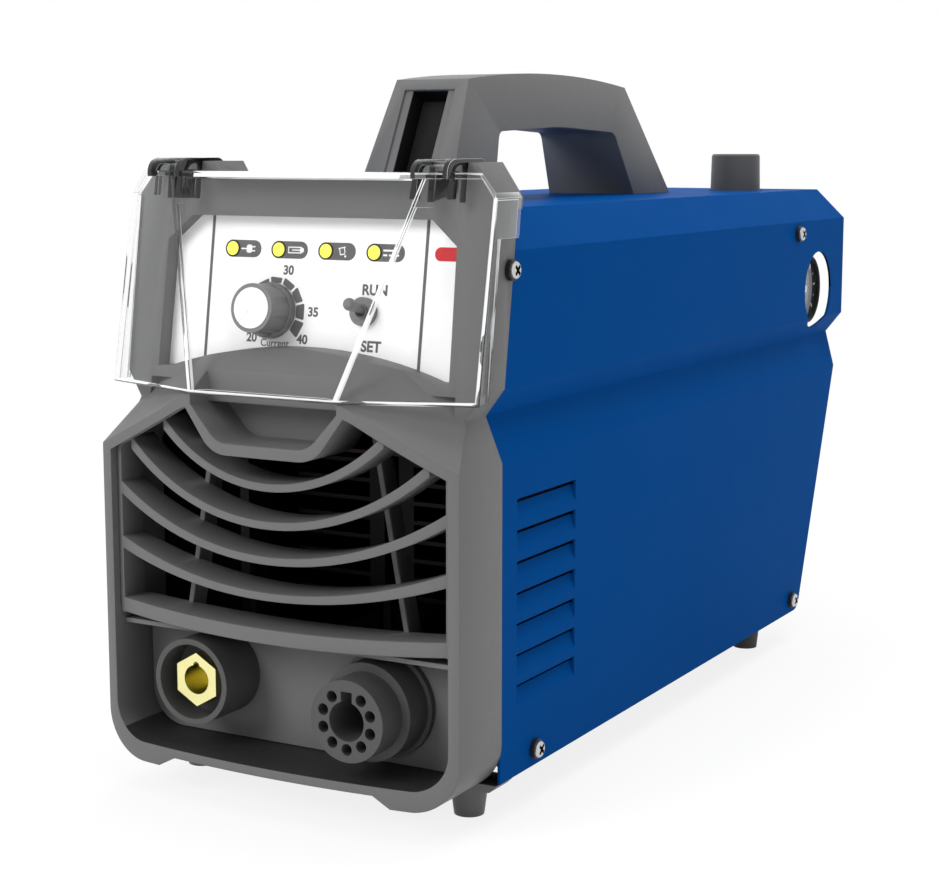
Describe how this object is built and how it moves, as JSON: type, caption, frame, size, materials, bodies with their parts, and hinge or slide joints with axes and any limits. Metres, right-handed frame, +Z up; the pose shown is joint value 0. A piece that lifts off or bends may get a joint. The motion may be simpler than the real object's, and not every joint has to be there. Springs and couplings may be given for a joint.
{
  "type": "plasma cutter unit",
  "caption": "Portable inverter plasma cutting unit with a hinged clear cover, louvred front with torch and work sockets, carrying handle and rear filter regulator.",
  "frame": {"origin": "under the middle of the whole object, on the surface it stands on", "axes": "+Z up, -Y out of the control panel, +X to the object's right-hand side seen from the front"},
  "size_m": [0.1896, 0.4746, 0.3206],
  "materials": {
    "grey_moulding": "fine-grained mid grey moulding",
    "dark_moulding": "dark grey moulding",
    "clear_plastic": "clear polycarbonate",
    "blue_paint": "satin blue powder coat on sheet steel",
    "dark_paint": "dark powder coat on sheet steel",
    "white_panel": "matte white",
    "steel": "bright zinc or nickel plate",
    "brass": "machined brass",
    "black_plastic": "black plastic",
    "rubber": "grey-brown rubber",
    "lamp": "yellow indicator lens",
    "board": "dark red board",
    "green_board": "green board",
    "aluminium": "bare extruded aluminium",
    "ferrite": "dark ferrite",
    "winding": "taped winding",
    "capacitor": "sleeved can"
  },
  "bodies": {
    "housing": {"front_bezel": "grey_moulding", "louvre_grille": "grey_moulding", "cover_hinge_pins": "steel", "control_plate": "white_panel", "led_lenses": "lamp", "potentiometer": "steel", "toggle_switch": "black_plastic", "toggle_nut": "black_plastic", "socket_plate": "dark_moulding", "work_socket": "dark_moulding", "work_socket_insert": "brass", "torch_socket": "dark_moulding", "socket_nuts": "dark_moulding", "sheet_cover": "blue_paint", "side_screws": "steel", "screw_bushes": "black_plastic", "handle": "grey_moulding", "handle_screws": "steel", "base_tray": "dark_paint", "rear_feet": "rubber", "rear_panel": "dark_paint", "fan_frame": "black_plastic", "fan_guard": "steel", "fan_screws": "steel", "power_switch": "black_plastic", "cable_gland": "black_plastic", "gland_nut": "black_plastic", "regulator_bracket": "dark_paint", "regulator_body": "black_plastic", "regulator_bowl": "clear_plastic", "pressure_gauge": "black_plastic", "gauge_lens": "clear_plastic", "air_inlet": "steel", "outlet_pipe": "steel", "solenoid_valve": "brass", "main_board": "board", "board_posts": "aluminium", "heatsinks": "aluminium", "transformer_core": "ferrite", "transformer_winding": "winding", "capacitors": "capacitor", "control_board": "green_board", "board_spacers": "black_plastic"},
    "clear_cover": {"clear_cover": "clear_plastic"},
    "current_knob": {"current_knob": "dark_moulding", "current_knob_cap": "white_panel", "potentiometer_shaft": "steel"},
    "toggle_lever": {"toggle_lever": "black_plastic"},
    "power_rocker": {"power_rocker": "black_plastic"},
    "regulator_stem": {"regulator_stem": "steel"},
    "regulator_knob": {"regulator_knob": "dark_moulding"},
    "fan_rotor": {"fan_rotor": "black_plastic"}
  },
  "joints": [
    {"name": "cover_hinge", "type": "hinge", "parent": "housing", "child": "clear_cover", "pos_m": [0, -0.18075, 0.2715], "axis": [-1, 0, 0], "range_deg": [0, 150]},
    {"name": "current_knob_turn", "type": "hinge", "parent": "housing", "child": "current_knob", "pos_m": [-0.0205, -0.19752, 0.21449], "axis": [0, 0.989, -0.1478], "range_deg": [0, 270]},
    {"name": "toggle_throw", "type": "hinge", "parent": "housing", "child": "toggle_lever", "pos_m": [0.0269, -0.19731, 0.21588], "axis": [1, 0, 0], "range_deg": [0, 20]},
    {"name": "power_rock", "type": "hinge", "parent": "housing", "child": "power_rocker", "pos_m": [-0.048, 0.14695, 0.212], "axis": [-1, 0, 0], "range_deg": [0, 18]},
    {"name": "regulator_turn", "type": "hinge", "parent": "housing", "child": "regulator_stem", "pos_m": [0.0374, 0.19425, 0.24], "axis": [0, 0, 1], "range_deg": [0, 1800]},
    {"name": "regulator_lift", "type": "slide", "parent": "regulator_stem", "child": "regulator_knob", "axis": [0, 0, 1], "range_m": [0, 0.0025]},
    {"name": "fan_spin", "type": "hinge", "parent": "housing", "child": "fan_rotor", "pos_m": [0, 0.13375, 0.088], "axis": [0, 1, 0], "continuous": true}
  ]
}
